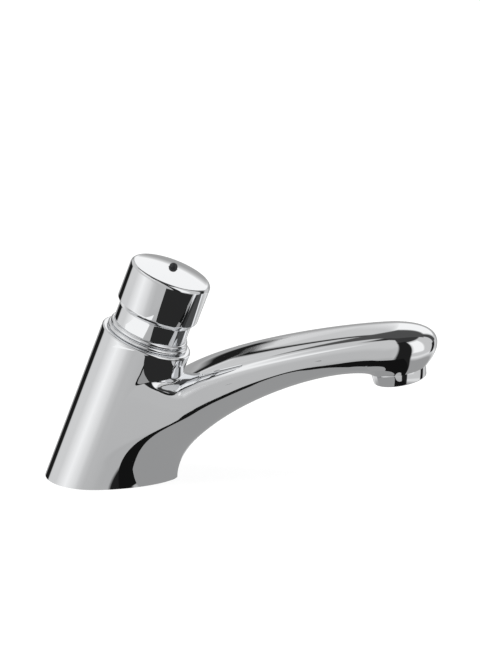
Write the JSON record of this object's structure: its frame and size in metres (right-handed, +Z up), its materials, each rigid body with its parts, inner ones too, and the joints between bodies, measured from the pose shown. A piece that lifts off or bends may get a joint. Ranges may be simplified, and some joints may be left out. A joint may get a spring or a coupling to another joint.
{
  "type": "push timed tap",
  "caption": "Deck-mounted push tap that shuts itself off: leaning barrel with a domed push button, egg-shaped foot and arched spout with an aerator.",
  "frame": {"origin": "centre of the water inlet's thread, on the deck", "axes": "+Z up from the deck, +X along the spout, +Y to the left seen from behind the barrel"},
  "size_m": [0.1689, 0.04, 0.0988],
  "materials": {
    "chrome": "polished plating",
    "brass": "turned",
    "steel": "drawn and turned",
    "rubber": "moulded",
    "acetal": "moulded",
    "dark_plastic": "moulded"
  },
  "bodies": {
    "tap_body": {"body_casting": "chrome", "collar_ring": "chrome", "aerator_housing": "chrome", "valve_seat": "brass", "cartridge_sleeve": "brass", "cartridge_guide": "brass", "inlet_strainer": "steel", "spring_washer": "steel", "return_spring": "steel", "metering_pin": "steel", "aerator_screen": "steel", "base_seal": "rubber", "seat_o_ring": "rubber", "sleeve_o_ring": "rubber", "guide_gasket": "rubber", "spindle_seal": "rubber", "wiper_seal": "rubber", "aerator_gasket": "rubber", "aerator_insert": "acetal"},
    "plunger": {"push_button": "chrome", "button_marker": "dark_plastic", "button_lock_nut": "brass", "spindle": "steel", "retaining_ring": "steel", "piston_seal": "rubber", "piston": "acetal", "valve_washer": "rubber", "valve_carrier": "brass", "valve_nut": "steel"}
  },
  "joints": [
    {"name": "push", "type": "slide", "parent": "tap_body", "child": "plunger", "axis": [-0.342, 0, -0.9397], "range_m": [0, 0.006], "stiffness_N_per_m": 2000, "springref_m": -0.005, "deforming": ["return_spring"]}
  ]
}
